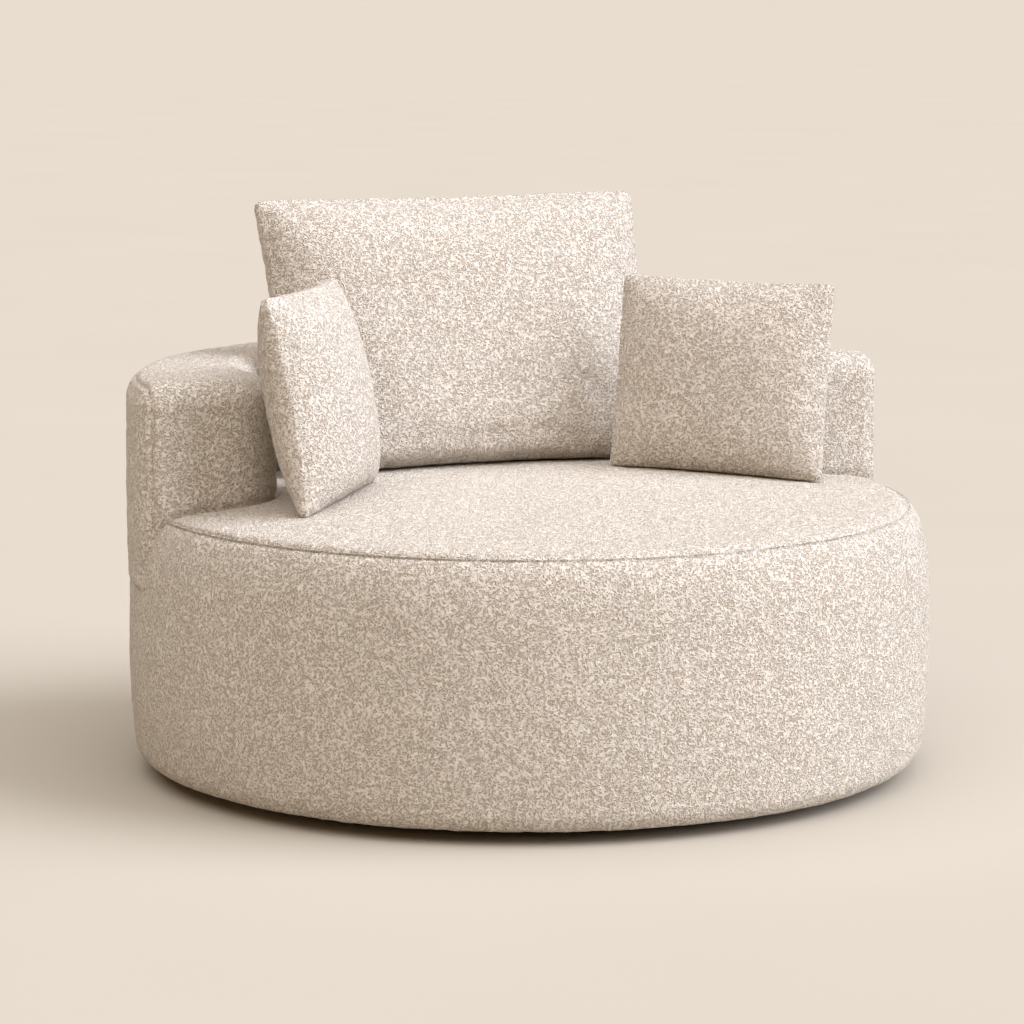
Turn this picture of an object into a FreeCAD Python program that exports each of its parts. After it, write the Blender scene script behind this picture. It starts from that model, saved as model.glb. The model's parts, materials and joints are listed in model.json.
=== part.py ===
import FreeCAD, Part
import math
import os

# Round swivel armchair in millimetres, +Z up, facing -Y.
# The origin is on the floor, on the swivel axis.

# Drum outline: tangent arcs from the widest line up to the crown and down to the hem
drum_radius = 650.0
seat_height = 466.3
side_arc = 2890.0
side_turn = 2.755
shoulder_arc = 245.0
shoulder_turn = 19.67
edge_arc = 52.6
crown_arc = 5950.0
lower_arc = 1100.0
hem_arc = 36.8
hem_height = 18.0
hem_return_width = 94.0
seat_seam_inset = 38.0

# Wall of the back and arms, seen from above
arm_height = 645.0
arm_thickness = 243.0
back_thickness = 210.0
back_bow = 20.0
corner_centre_x = 147.0
arm_front_y = 0.0
arm_outer_corner = 45.0
arm_inner_corner = 95.0
wall_top_round = 42.0
cover_seam_inset = 16.0

# Covers, paddings and the clearances between soft pieces
cover_thickness = 3.0
soft_gap = 0.3
liner_thickness = 3.0
wall_padding = 41.4
drum_padding = 58.0
arm_end_padding = 60.0
top_padding = 47.0
seat_stack = 148.3

# Timber frame
frame_ring_width = 52.0
board_thickness = 18.0
frame_corner = 12.0
opening_margin = 15.0
dust_thickness = 1.0
dust_margin = 40.0
post_side = 40.0
post_count = 12
post_start = 15.0
rib_count = 7
rib_start = 27.0
wall_bolt_count = 6

# Swivel and floor disc
glide_height = 5.0
glide_radius = 18.0
glide_count = 8
glide_inset = 35.0
glide_stem_radius = 3.0
glide_stem_length = 11.0
disc_setback = 230.0
plate_side = 184.0
plate_thickness = 3.0
plate_hole_radius = 24.0
plate_fastener_offset = 80.0
race_inner = 55.0
race_outer = 85.0
race_gap = 3.0
swivel_height = 25.0
ball_radius = 5.0
ball_clearance = 0.05
ball_count = 16
cage_thickness = 2.0
cage_margin = 4.0

# Springs
spring_count = 7
spring_spacing = 90.0
spring_wire_radius = 1.9
spring_bar = 28.0
spring_pitch = 34.0
clip_side = 14.0
clip_tab = 9.0
clip_sheet = 0.7
clip_inset = 9.0
pad_thickness = 3.0
pad_margin = 10.0

# Fasteners
screw_radius = 2.4
screw_head_radius = 4.8
screw_head_height = 3.0
screw_length = 50.0
plate_screw_length = 18.0
bolt_radius = 4.0
bolt_head_radius = 9.0
bolt_head_height = 4.0
nut_across = 13.0
nut_height = 6.5
nail_radius = 1.3
nail_head_radius = 2.8
nail_head_height = 0.9
nail_length = 14.0
hole_clearance = 0.1

# Loose cushions: width, height and thickness, and how each one leans, rolls, turns and stands
cushion_width = 706.0
cushion_height = 476.0
cushion_thickness = 186.0
cushion_lean = 20.0
cushion_shift = 10.0
cushion_start_y = 130.0
cushion_wall_gap = 1.0
wall_approach = 4.0
left_pillow_width = 345.0
left_pillow_height = 340.0
left_pillow_thickness = 118.0
left_pillow_lean = 10.9
left_pillow_roll = -0.6
left_pillow_turn = 50.9
left_pillow_arm_space = 63.0
left_pillow_step = -43.0
right_pillow_width = 372.0
right_pillow_height = 327.0
right_pillow_thickness = 124.0
right_pillow_lean = 11.3
right_pillow_roll = 1.4
right_pillow_turn = -39.0
right_pillow_arm_space = 81.0
right_pillow_step = -16.0
seam_corner = 16.0
pillow_side_draw = 9.0
pillow_end_draw = 9.0
cushion_side_draw = 17.0
cushion_end_draw = 7.0
settle_start = 20.0
settle_steps = 16
settle_tolerance = 0.03

# Sizes that follow from the ones above
hem_return_radius = drum_radius - hem_return_width
seat_seam_radius = drum_radius - seat_seam_inset
cover_seam_radius = drum_radius - cover_seam_inset
frame_radius = drum_radius - drum_padding
disc_radius = drum_radius - disc_setback
glide_circle = disc_radius - glide_inset
seat_half_width = drum_radius - arm_thickness
corner_radius = seat_half_width - corner_centre_x
corner_centre_y = drum_radius - back_thickness - back_bow - corner_radius
back_arc_centre_y = corner_centre_y + back_bow / 2 - corner_centre_x ** 2 / (2 * back_bow)
back_arc_radius = corner_radius + math.hypot(corner_centre_x, corner_centre_y - back_arc_centre_y)
dust_opening_radius = plate_side / math.sqrt(2) + dust_margin
deck_z = seat_height - seat_stack
floor_disc_top = glide_height + board_thickness
board_z = floor_disc_top + swivel_height
board_top = board_z + board_thickness
ring_inner = frame_radius - frame_ring_width
ring_middle = frame_radius - frame_ring_width / 2
rail_top = arm_height - top_padding
rib_bottom = deck_z + board_thickness
rib_top = rail_top - board_thickness
frame_inset = wall_padding + soft_gap + liner_thickness + soft_gap
padding_radius = frame_radius + soft_gap + liner_thickness + soft_gap
foam_inset = cover_thickness + soft_gap
frame_front_y = arm_front_y + arm_end_padding
ball_z = floor_disc_top + swivel_height / 2
race_height = (swivel_height - race_gap) / 2 - plate_thickness
ball_circle = (race_inner + race_outer) / 2
clip_height = 2 * (spring_wire_radius + clip_sheet + hole_clearance)
spring_z = deck_z + clip_height / 2
pad_z = deck_z + clip_height + soft_gap
pocket_top = pad_z + pad_thickness + soft_gap
wall_foot_z = pocket_top + clip_height / 2
far = 3 * drum_radius

up = FreeCAD.Vector(0, 0, 1)
origin = FreeCAD.Vector(0, 0, 0)


def vec(x, y, z):
    return FreeCAD.Vector(x, y, z)


def save(name, pieces):
    """Write one node, a single solid or a group of separate solids."""
    solids = []
    for piece in pieces:
        solids.extend(piece.Solids)
    shape = solids[0] if len(solids) == 1 else Part.makeCompound(solids)
    shape.exportStep("parts/" + name + ".step")
    print(name, len(solids), shape.isValid(), round(shape.Volume))


def disc(radius, z0, z1):
    return Part.makeCylinder(radius, z1 - z0, vec(0, 0, z0))


def ring(inner, outer, z0, z1):
    return disc(outer, z0, z1).cut(disc(inner, z0, z1))


def block(x0, x1, y0, y1, z0, z1):
    return Part.makeBox(x1 - x0, y1 - y0, z1 - z0, vec(x0, y0, z0))


def slab(z0, z1):
    return block(-far, far, -far, far, z0, z1)


def behind(y0):
    return block(-far, far, y0, far, -far, far)


def before(y0):
    return block(-far, far, -far, y0, -far, far)


def turned(shape, angle):
    copy = shape.copy()
    copy.rotate(origin, up, angle)
    return copy


def around(shape, count, start, step):
    return [turned(shape, start + step * index) for index in range(count)]


def arc_through(first, middle, last):
    return Part.Arc(first, middle, last).toShape()


def line(first, last):
    return Part.LineSegment(first, last).toShape()


# Drum outline, revolved

def polar(centre, radius, angle):
    """Point of an arc in the XZ plane, with the centre given as (x, z)."""
    return vec(centre[0] + radius * math.cos(angle), 0, centre[1] + radius * math.sin(angle))


def next_centre(centre, radius, new_radius, angle):
    """Centre of the next arc of a tangent chain."""
    step = radius - new_radius
    return (centre[0] + step * math.cos(angle), centre[1] + step * math.sin(angle))


def drum_arcs():
    """Tangent arcs of the drum's outline as (centre, radius, start angle, end angle)."""
    first_turn = math.radians(side_turn)
    second_turn = math.radians(shoulder_turn)
    side = (drum_radius - side_arc, 0.0)
    shoulder = next_centre(side, side_arc, shoulder_arc, first_turn)
    edge = next_centre(shoulder, shoulder_arc, edge_arc, second_turn)
    third_turn = math.acos(edge[0] / (crown_arc - edge_arc))
    crown = next_centre(edge, edge_arc, crown_arc, third_turn)
    waist_z = seat_height - crown[1] - crown_arc
    lower = (drum_radius - lower_arc, 0.0)
    drop = waist_z - hem_height - hem_arc
    low_turn = -math.asin(drop / (lower_arc - hem_arc))
    hem = next_centre(lower, lower_arc, hem_arc, low_turn)
    chain = [
        (hem, hem_arc, -math.pi / 2, low_turn),
        (lower, lower_arc, low_turn, 0.0),
        (side, side_arc, 0.0, first_turn),
        (shoulder, shoulder_arc, first_turn, second_turn),
        (edge, edge_arc, second_turn, third_turn),
        (crown, crown_arc, third_turn, math.pi / 2),
    ]
    return [((c[0], c[1] + waist_z), radius, start, end) for c, radius, start, end in chain]


def drum_body(inset):
    """The whole drum as one solid, drawn in by inset on every side."""
    edges = []
    for centre, radius, start, end in drum_arcs():
        size = radius - inset
        points = [polar(centre, size, start + (end - start) * share) for share in (0, 0.5, 1)]
        edges.append(arc_through(*points))
    bottom = edges[0].firstVertex().Point
    axis_low = vec(0, 0, bottom.z)
    axis_high = vec(0, 0, seat_height - inset)
    outline = [line(axis_low, bottom)] + edges + [line(axis_high, axis_low)]
    return Part.Face(Part.Wire(outline)).revolve(origin, up, 360)


# Plan of the wall: outer circle, front line and the inner line round the seat

def inner_line(offset, start_y):
    """Edges of the seat side of the wall, moved outward by offset, from right to left."""
    side_x = seat_half_width + offset
    small = corner_radius + offset
    large = back_arc_radius + offset
    meet = math.atan2(corner_centre_y - back_arc_centre_y, corner_centre_x)

    def on_corner(sign, angle):
        x = corner_centre_x + small * math.cos(angle)
        return vec(sign * x, corner_centre_y + small * math.sin(angle), 0)

    right_meet = on_corner(1, meet)
    left_meet = on_corner(-1, meet)
    crown = vec(0, back_arc_centre_y + large, 0)
    return [
        line(vec(side_x, start_y, 0), vec(side_x, corner_centre_y, 0)),
        arc_through(vec(side_x, corner_centre_y, 0), on_corner(1, meet / 2), right_meet),
        arc_through(right_meet, crown, left_meet),
        arc_through(left_meet, on_corner(-1, meet / 2), vec(-side_x, corner_centre_y, 0)),
        line(vec(-side_x, corner_centre_y, 0), vec(-side_x, start_y, 0)),
    ]


def extrude(edges, z0, z1):
    face = Part.Face(Part.Wire(edges))
    face.translate(vec(0, 0, z0))
    return face.extrude(vec(0, 0, z1 - z0))


def niche(offset, z0, z1):
    """The space of the seat between the arms, open far out to the front."""
    side_x = seat_half_width + offset
    edges = inner_line(offset, -far)
    edges.append(line(vec(-side_x, -far, 0), vec(side_x, -far, 0)))
    return extrude(edges, z0, z1)


def crescent(outer, offset, front, outer_corner, inner_corner, z0, z1):
    """The wall's plan with rounded front corners, raised from z0 to z1."""
    side_x = seat_half_width + offset
    in_x = side_x + inner_corner
    corner_y = front + outer_corner
    out_x = math.sqrt((outer - outer_corner) ** 2 - corner_y ** 2)
    corner_angle = math.atan2(corner_y, out_x)
    low_angle = (corner_angle - math.pi / 2) / 2
    edges = inner_line(offset, front + inner_corner)
    for sign in (-1, 1):
        out_meet = vec(sign * outer * math.cos(corner_angle), outer * math.sin(corner_angle), 0)
        out_middle = vec(
            sign * (out_x + outer_corner * math.cos(low_angle)),
            corner_y + outer_corner * math.sin(low_angle),
            0,
        )
        in_middle = vec(
            sign * (in_x - inner_corner * math.cos(math.pi / 4)),
            front + inner_corner * (1 - math.sin(math.pi / 4)),
            0,
        )
        in_meet = vec(sign * side_x, front + inner_corner, 0)
        edges.append(arc_through(in_meet, in_middle, vec(sign * in_x, front, 0)))
        edges.append(line(vec(sign * in_x, front, 0), vec(sign * out_x, front, 0)))
        edges.append(arc_through(vec(sign * out_x, front, 0), out_middle, out_meet))
        if sign < 0:
            left_meet = out_meet
    edges.append(arc_through(left_meet, vec(0, outer, 0), out_meet))
    return extrude(Part.__sortEdges__(edges), z0, z1)


def wall_prism(inset, z0, z1):
    return crescent(
        drum_radius - inset,
        inset,
        arm_front_y + inset,
        arm_outer_corner - inset,
        arm_inner_corner - inset,
        z0,
        z1,
    )


def wall_form(inset, z0):
    """The wall with its rounded top edge, drawn in by inset."""
    top = arm_height - inset
    prism = wall_prism(inset, z0, top)
    rim = [edge for edge in prism.Edges if edge.BoundBox.ZMin > top - soft_gap]
    return prism.makeFillet(wall_top_round - inset, rim)


def frame_crescent(z0, z1):
    return crescent(frame_radius, frame_inset, frame_front_y + soft_gap, frame_corner, frame_corner, z0, z1)


# Fasteners

def screw(x, y, z, way, length, grow):
    """Flat-headed screw with its head face at z; way is +1 when it points up."""
    axis = vec(0, 0, way)
    head_height = screw_head_height + grow
    head = Part.makeCylinder(screw_head_radius + grow, head_height, vec(x, y, z - way * grow), axis)
    shank = Part.makeCylinder(screw_radius + grow, length + grow, vec(x, y, z), axis)
    return head.fuse(shank)


def bolt(x, y, z, grow):
    """Bolt that hangs from its head, which stands on the face at z."""
    length = 2 * board_thickness + nut_height + bolt_radius
    head = Part.makeCylinder(bolt_head_radius, bolt_head_height, vec(x, y, z))
    shank = Part.makeCylinder(bolt_radius + grow, length, vec(x, y, z - length))
    return head.fuse(shank)


def nut(x, y, z):
    """Hexagon nut hanging under the face at z, bored for its bolt."""
    corner = nut_across / math.sqrt(3)
    points = [vec(x + corner * math.cos(a), y + corner * math.sin(a), z - nut_height)
              for a in [math.pi / 3 * index for index in range(7)]]
    body = Part.Face(Part.makePolygon(points)).extrude(vec(0, 0, nut_height))
    return body.cut(Part.makeCylinder(bolt_radius + hole_clearance, nut_height, vec(x, y, z - nut_height)))


def circle_points(radius, count, start, step):
    angles = [math.radians(start + step * index) for index in range(count)]
    return [(radius * math.cos(a), radius * math.sin(a)) for a in angles]


rib_step = (180 - 2 * rib_start) / (rib_count - 1)
post_step = 360 / post_count
post_places = circle_points(ring_middle, post_count, post_start, post_step)
rib_places = circle_points(ring_middle, rib_count, rib_start, rib_step)
bolt_places = circle_points(ring_middle, wall_bolt_count, rib_start + rib_step / 2, rib_step)


def frame_screws(grow):
    """Screws through the boards into the posts and ribs."""
    screws = []
    for x, y in post_places:
        screws.append(screw(x, y, board_z, 1, screw_length, grow))
        screws.append(screw(x, y, deck_z, -1, screw_length, grow))
    for x, y in rib_places:
        screws.append(screw(x, y, deck_z, 1, screw_length, grow))
        screws.append(screw(x, y, rail_top, -1, screw_length, grow))
    return screws


def plate_corners():
    step = plate_fastener_offset
    return [(x, y) for x in (-step, step) for y in (-step, step)]


# Standing base: glides, floor disc and lower swivel plate

def make_base():
    glides = []
    glide_holes = []
    for x, y in circle_points(glide_circle, glide_count, 0, 360 / glide_count):
        pad = Part.makeCylinder(glide_radius, glide_height, vec(x, y, 0))
        rim = [edge for edge in pad.Edges if edge.BoundBox.ZMax < glide_height / 2]
        pad = pad.makeChamfer(glide_height / 4, rim)
        stem_top = glide_height + glide_stem_length
        stem = Part.makeCylinder(glide_stem_radius, stem_top - glide_height / 2, vec(x, y, glide_height / 2))
        glides.append(pad.fuse(stem))
        hole_radius = glide_stem_radius + hole_clearance
        glide_holes.append(Part.makeCylinder(hole_radius, stem_top + hole_clearance, vec(x, y, 0)))
    screws = [screw(x, y, floor_disc_top + plate_thickness + screw_head_height, -1,
                    plate_screw_length + screw_head_height, 0) for x, y in plate_corners()]
    hole_depth = plate_screw_length + hole_clearance
    hole_z = floor_disc_top + plate_thickness - hole_depth
    screw_holes = [Part.makeCylinder(screw_radius + hole_clearance, hole_depth, vec(x, y, hole_z))
                   for x, y in plate_corners()]
    floor_disc = disc(disc_radius, glide_height, floor_disc_top)
    save("floor_glides", glides)
    save("base_disc", [floor_disc.cut(Part.makeCompound(glide_holes + screw_holes))])
    save("swivel_lower_plate", [swivel_plate(floor_disc_top, 1, screw_radius)])
    save("lower_plate_screws", screws)


def swivel_plate(z, way, fastener_radius):
    """Square steel plate with a raised ball race; way is the side that the race stands on."""
    half = plate_side / 2
    low = min(z, z + way * plate_thickness)
    plate = block(-half, half, -half, half, low, low + plate_thickness)
    race_face = z + way * plate_thickness
    race_low = min(race_face, race_face + way * race_height)
    body = plate.fuse(ring(race_inner, race_outer, race_low, race_low + race_height))
    groove = Part.makeTorus(ball_circle, ball_radius + ball_clearance, vec(0, 0, ball_z))
    holes = [disc(plate_hole_radius, low, low + plate_thickness)]
    for x, y in plate_corners():
        holes.append(Part.makeCylinder(fastener_radius + hole_clearance, plate_thickness, vec(x, y, low)))
    return body.cut(groove).cut(Part.makeCompound(holes))


def make_cage():
    """Cage and balls that roll between the two races at half the seat's turn."""
    low = ball_z - cage_thickness / 2
    cage = ring(race_inner + cage_margin, race_outer - cage_margin, low, low + cage_thickness)
    places = circle_points(ball_circle, ball_count, 0, 360 / ball_count)
    pocket_radius = ball_radius + ball_clearance
    pockets = [Part.makeCylinder(pocket_radius, cage_thickness, vec(x, y, low)) for x, y in places]
    save("ball_cage", [cage.cut(Part.makeCompound(pockets))])
    save("bearing_balls", [Part.makeSphere(ball_radius, vec(x, y, ball_z)) for x, y in places])


# Drum frame

def make_drum_frame():
    upper_face = board_z
    head_z = upper_face - plate_thickness - screw_head_height
    screws = [screw(x, y, head_z, 1, plate_screw_length + screw_head_height, 0) for x, y in plate_corners()]
    plate_holes = [Part.makeCylinder(screw_radius + hole_clearance, plate_screw_length, vec(x, y, board_z))
                   for x, y in plate_corners()]
    clear = Part.makeCompound(frame_screws(hole_clearance))
    centre_hole = disc(plate_hole_radius, board_z, board_top)
    bottom = disc(frame_radius, board_z, board_top).cut(centre_hole)
    save("swivel_upper_plate", [swivel_plate(upper_face, -1, screw_radius)])
    save("upper_plate_screws", screws)
    save("bottom_board", [bottom.cut(Part.makeCompound(plate_holes)).cut(clear)])
    save("skirt_ring", [ring(hem_return_radius - foam_inset, frame_radius, hem_height + foam_inset, board_z)])
    post = block(ring_middle - post_side / 2, ring_middle + post_side / 2, -post_side / 2, post_side / 2,
                 board_top, deck_z - board_thickness)
    save("drum_posts", [piece.cut(clear) for piece in around(post, post_count, post_start, post_step)])
    ring_low = deck_z - board_thickness
    opening = disc(ring_inner, ring_low, deck_z).common(niche(opening_margin, ring_low, deck_z))
    bolt_holes = [bolt(x, y, rib_bottom, hole_clearance) for x, y in bolt_places]
    top_ring = disc(frame_radius, ring_low, deck_z).cut(opening).cut(clear)
    nails = Part.makeCompound(clip_nails(hole_clearance))
    save("top_ring", [top_ring.cut(Part.makeCompound(bolt_holes)).cut(nails)])
    save("frame_screws", frame_screws(0))
    dust_edge = hem_return_radius - foam_inset - soft_gap
    save("dust_cover", [ring(dust_opening_radius, dust_edge, board_z - dust_thickness, board_z)])
    liner_foot = hem_height + foam_inset
    liner = ring(frame_radius + soft_gap, padding_radius - soft_gap, liner_foot, deck_z - soft_gap)
    save("drum_liner", [liner])


# Springs, their clips and the pad over them

def spring_ends(x):
    """Front and rear end of the spring at x, in the middle of their clips."""
    front = -math.sqrt(ring_inner ** 2 - x ** 2) - clip_inset
    reach = opening_margin + clip_inset
    meet_x = corner_centre_x * (back_arc_radius + reach) / (back_arc_radius - corner_radius)
    if abs(x) < meet_x:
        rear = back_arc_centre_y + math.sqrt((back_arc_radius + reach) ** 2 - x ** 2)
    else:
        rear = corner_centre_y + math.sqrt((corner_radius + reach) ** 2 - (abs(x) - corner_centre_x) ** 2)
    return front, rear


def spring_lines():
    half = (spring_count - 1) / 2
    return [spring_spacing * (index - half) for index in range(spring_count)]


def zigzag_spring(x):
    """Flat wire spring of straight bars joined by round turns, from front to rear."""
    front, rear = spring_ends(x)
    turns = 2 * round((rear - front) / (2 * spring_pitch))
    pitch = (rear - front) / turns
    half_bar = spring_bar / 2
    bend = pitch / 2
    slant = bend * math.sin(math.pi / 4)
    edges = []
    side = 1
    y = front
    edges.append(line(vec(x - half_bar, y, spring_z), vec(x + half_bar, y, spring_z)))
    for _ in range(turns):
        near = x + side * half_bar
        middle = vec(near + side * bend, y + bend, spring_z)
        entering = vec(near + side * slant, y + bend - slant, spring_z)
        edges.append(arc_through(vec(near, y, spring_z), entering, middle))
        end = vec(near, y + pitch, spring_z)
        leaving = vec(near + side * slant, y + bend + slant, spring_z)
        edges.append(arc_through(middle, leaving, end))
        y += pitch
        edges.append(line(end, vec(x - side * half_bar, y, spring_z)))
        side = -side
    start = Part.Circle(vec(x - half_bar, front, spring_z), vec(1, 0, 0), spring_wire_radius)
    return Part.Wire(edges).makePipeShell([Part.Wire(start.toShape())], True, False)


def clip_frames():
    """Place of each clip as (x, y, way); way points from the opening onto the ring."""
    frames = []
    for x in spring_lines():
        front, rear = spring_ends(x)
        frames.append((x, front, -1))
        frames.append((x, rear, 1))
    return frames


def make_clip(x, y, way):
    """Sheet clip folded over the spring's end bar, with a tab for its nail."""
    half = clip_side / 2
    tunnel = spring_wire_radius + hole_clearance
    body = block(x - half, x + half, y - half, y + half, deck_z, deck_z + clip_height)
    hole = block(x - clip_side, x + clip_side, y - tunnel, y + tunnel, spring_z - tunnel, spring_z + tunnel)
    tab_start = min(y, y + way * (half + clip_tab))
    tab = block(x - half, x + half, tab_start, tab_start + half + clip_tab, deck_z, deck_z + clip_sheet)
    nail_y = y + way * (half + clip_tab / 2)
    nail_hole = Part.makeCylinder(nail_radius + hole_clearance, clip_sheet, vec(x, nail_y, deck_z))
    return body.fuse(tab).cut(hole).cut(nail_hole)


def clip_nails(grow):
    nails = []
    for x, y, way in clip_frames():
        nail_y = y + way * (clip_side / 2 + clip_tab / 2)
        head_z = deck_z + clip_sheet
        head = Part.makeCylinder(nail_head_radius, nail_head_height, vec(x, nail_y, head_z))
        length = nail_length + grow
        shank = Part.makeCylinder(nail_radius + grow, length, vec(x, nail_y, head_z - length))
        nails.append(head.fuse(shank))
    return nails


def make_springs():
    save("seat_springs", [zigzag_spring(x) for x in spring_lines()])
    save("spring_clips", [make_clip(x, y, way) for x, y, way in clip_frames()])
    save("clip_nails", clip_nails(0))
    pad_radius = ring_inner + clip_inset
    pad = disc(pad_radius, pad_z, pad_z + pad_thickness)
    save("spring_pad", [pad.common(niche(-pad_margin, pad_z, pad_z + pad_thickness))])


# Drum paddings and covers

def make_drum_soft():
    padding = drum_body(foam_inset)
    wall_clear = wall_prism(-soft_gap, deck_z, far)
    low = slab(-far, deck_z - soft_gap)
    high = slab(deck_z + soft_gap, far)
    pocket = disc(ring_inner + clip_inset + clip_side + clip_tab, deck_z, pocket_top)
    save("drum_side_foam", [padding.common(low).cut(disc(padding_radius, 0, deck_z))])
    save("seat_foam", [padding.common(high).cut(wall_clear).cut(pocket)])
    shell = drum_body(0).cut(drum_body(cover_thickness))
    top_zone = disc(seat_seam_radius, deck_z, far)
    side_clear = disc(seat_seam_radius + soft_gap, deck_z, far)
    return_clear = disc(hem_return_radius, 0, deck_z)
    save("seat_top_cover", [shell.common(top_zone).cut(wall_clear)])
    save("drum_side_cover", [shell.cut(side_clear).cut(return_clear).cut(wall_clear)])


# Wall frame, liners, paddings and covers

def make_wall_frame():
    clear = Part.makeCompound(frame_screws(hole_clearance))
    bolt_clear = Part.makeCompound([bolt(x, y, rib_bottom, hole_clearance) for x, y in bolt_places])
    save("wall_bottom_rail", [frame_crescent(deck_z, rib_bottom).cut(clear).cut(bolt_clear)])
    save("wall_top_rail", [frame_crescent(rib_top, rail_top).cut(clear)])
    core = frame_crescent(rib_bottom, rib_top)
    half = board_thickness / 2
    board = block(0, far, -half, half, rib_bottom, rib_top)
    boards = around(board, rib_count, rib_start, rib_step)
    save("wall_ribs", [piece.common(core).cut(clear) for piece in boards])
    front = frame_front_y + soft_gap
    save("arm_front_boards", [core.common(block(-far, far, front, front + board_thickness, 0, far))])
    save("wall_bolts", [bolt(x, y, rib_bottom, 0) for x, y in bolt_places])
    save("wall_nuts", [nut(x, y, deck_z - board_thickness) for x, y in bolt_places])


def make_wall_soft():
    padded_zone = behind(frame_front_y + soft_gap)
    low = slab(-far, rail_top)
    foot_clear = niche(frame_inset, 0, wall_foot_z)
    outer_line = frame_inset - soft_gap
    strip = niche(outer_line, wall_foot_z, rail_top).cut(niche(outer_line - liner_thickness, 0, far))
    save("wall_inner_liner", [strip.common(padded_zone)])
    band = ring(frame_radius + soft_gap, padding_radius - soft_gap, deck_z + soft_gap, rail_top)
    save("wall_outer_liner", [band.common(padded_zone).cut(niche(0, 0, far))])
    form = wall_form(foam_inset, deck_z + soft_gap)
    inner = form.common(niche(wall_padding, wall_foot_z, rail_top)).common(padded_zone)
    save("wall_inner_foam", [inner])
    save("wall_outer_foam", [form.cut(disc(padding_radius, 0, far)).common(low).common(padded_zone)])
    save("wall_top_foam", [form.common(slab(rail_top + soft_gap, far))])
    save("arm_end_foams", [form.common(before(frame_front_y)).common(low)])
    shell = wall_form(0, deck_z + soft_gap).cut(wall_form(cover_thickness, 0))
    seam_inside = disc(cover_seam_radius, 0, far)
    seam_outside = disc(cover_seam_radius + soft_gap, 0, far)
    save("wall_inner_cover", [shell.common(seam_inside).cut(foot_clear)])
    save("wall_outer_cover", [shell.cut(seam_outside)])


# Loose cushions: steps from the seam to the crown, as the share of the depth, the draw-in as a share
# of the thickness, the share of the side's hollow, and the corner's growth as a share of the thickness

cushion_steps = [
    (0.0, 0.0, 1.0, 0.0),
    (0.34, 0.06, 0.7, 0.08),
    (0.66, 0.20, 0.2, 0.16),
    (0.90, 0.45, -0.3, 0.22),
    (1.0, 0.75, -0.8, 0.25),
]


def seam_outline(width, height, side_draw, end_draw, corner, y):
    """Closed outline in the cushion's own frame, with all four sides drawn in between the corners."""
    x = width / 2
    chop = corner * (1 - math.sqrt(0.5))
    sides = [
        (vec(-x + corner, y, 0), vec(0, y, end_draw), vec(x - corner, y, 0)),
        (vec(x, y, corner), vec(x - side_draw, y, height / 2), vec(x, y, height - corner)),
        (vec(x - corner, y, height), vec(0, y, height - end_draw), vec(-x + corner, y, height)),
        (vec(-x, y, height - corner), vec(-x + side_draw, y, height / 2), vec(-x, y, corner)),
    ]
    corners = [
        vec(x - chop, y, chop),
        vec(x - chop, y, height - chop),
        vec(-x + chop, y, height - chop),
        vec(-x + chop, y, chop),
    ]
    edges = []
    for index in range(4):
        following = sides[(index + 1) % 4]
        edges.append(arc_through(*sides[index]))
        edges.append(arc_through(sides[index][2], corners[index], following[0]))
    return Part.Wire(edges)


def half_cushion(form, inset, way):
    """One face of a knife-edged cushion, from the seam out to its crown."""
    width, height, thickness, side_draw, end_draw = form
    depth = thickness / 2 - inset
    sections = []
    for share, drawn_in, hollow, corner_growth in cushion_steps:
        reach = drawn_in * thickness + inset
        corner = seam_corner + corner_growth * thickness
        outline = seam_outline(width - 2 * reach, height - 2 * reach, hollow * side_draw,
                               hollow * end_draw, corner, way * depth * share)
        outline.translate(vec(0, 0, reach))
        sections.append(outline)
    return Part.makeLoft(sections, True, False)


def cushion(form, inset):
    return half_cushion(form, inset, -1).fuse(half_cushion(form, inset, 1)).removeSplitter()


def stand(shape, pose, foot):
    """Roll a cushion in its own plane, lean it back, turn it and move its foot to a place."""
    lean, roll, turn = pose
    copy = shape.copy()
    copy.rotate(origin, vec(0, 1, 0), roll)
    copy.rotate(origin, vec(1, 0, 0), -lean)
    copy.rotate(origin, up, turn)
    copy.translate(foot)
    return copy


def settle(shape, pose, foot, way, support, gap):
    """Foot of the cushion after it has moved along way, until it lies the gap off its support."""
    for _ in range(settle_steps):
        distance = stand(shape, pose, foot).distToShape(support)[0]
        if distance < gap + settle_tolerance:
            break
        foot = foot + way * (distance - gap)
    return foot


def make_cushion(name, form, pose, foot):
    outer = cushion(form, 0)
    foot = settle(outer, pose, foot, vec(0, 0, -1), drum_body(0), soft_gap)
    save(name + "_cover", [stand(outer.cut(cushion(form, cover_thickness)), pose, foot)])
    save(name + "_fill", [stand(cushion(form, foam_inset), pose, foot)])


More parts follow.
